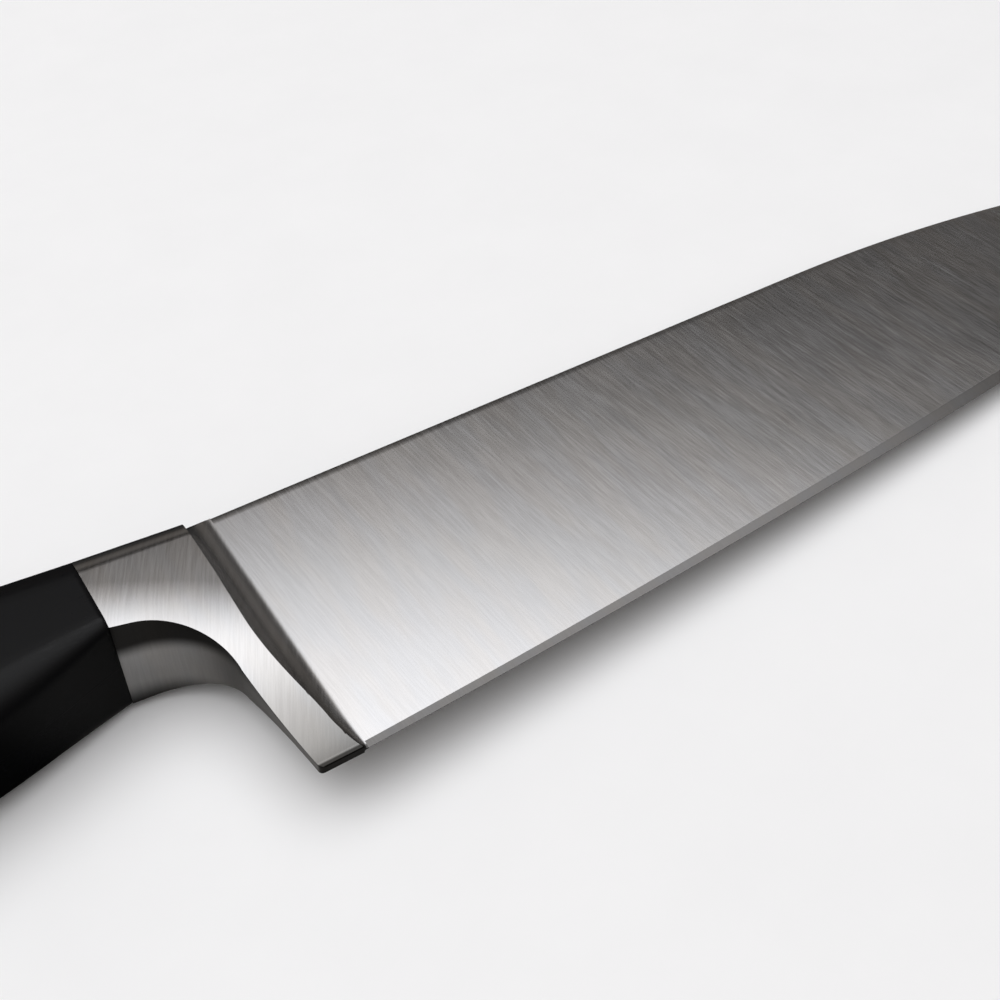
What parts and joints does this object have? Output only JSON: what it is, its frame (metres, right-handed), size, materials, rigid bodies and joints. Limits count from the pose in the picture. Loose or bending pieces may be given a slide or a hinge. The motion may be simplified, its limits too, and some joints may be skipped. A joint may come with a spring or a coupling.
{
  "type": "forged cook's knife",
  "caption": "Broad forged cook's knife with a full-height bolster and a moulded handle, for chopping and slicing meat and vegetables.",
  "frame": {"origin": "on the flat of the spine where it meets the bolster, on the blade's mid-plane", "axes": "+X along the spine to the tip, +Y out of the spine, +Z out of the right-hand face of the blade, so the knife lies on its side"},
  "size_m": [0.334, 0.0457, 0.0184],
  "materials": {
    "blade_steel": "satin, fine grind lines across the blade",
    "bolster_steel": "satin",
    "tang_steel": "as rolled",
    "core_plastic": "hard, as moulded",
    "grip_plastic": "matt black"
  },
  "bodies": {
    "root": {"blade": "blade_steel", "bolster": "bolster_steel", "tang": "tang_steel", "handle_core": "core_plastic", "handle_grip": "grip_plastic"}
  },
  "joints": []
}
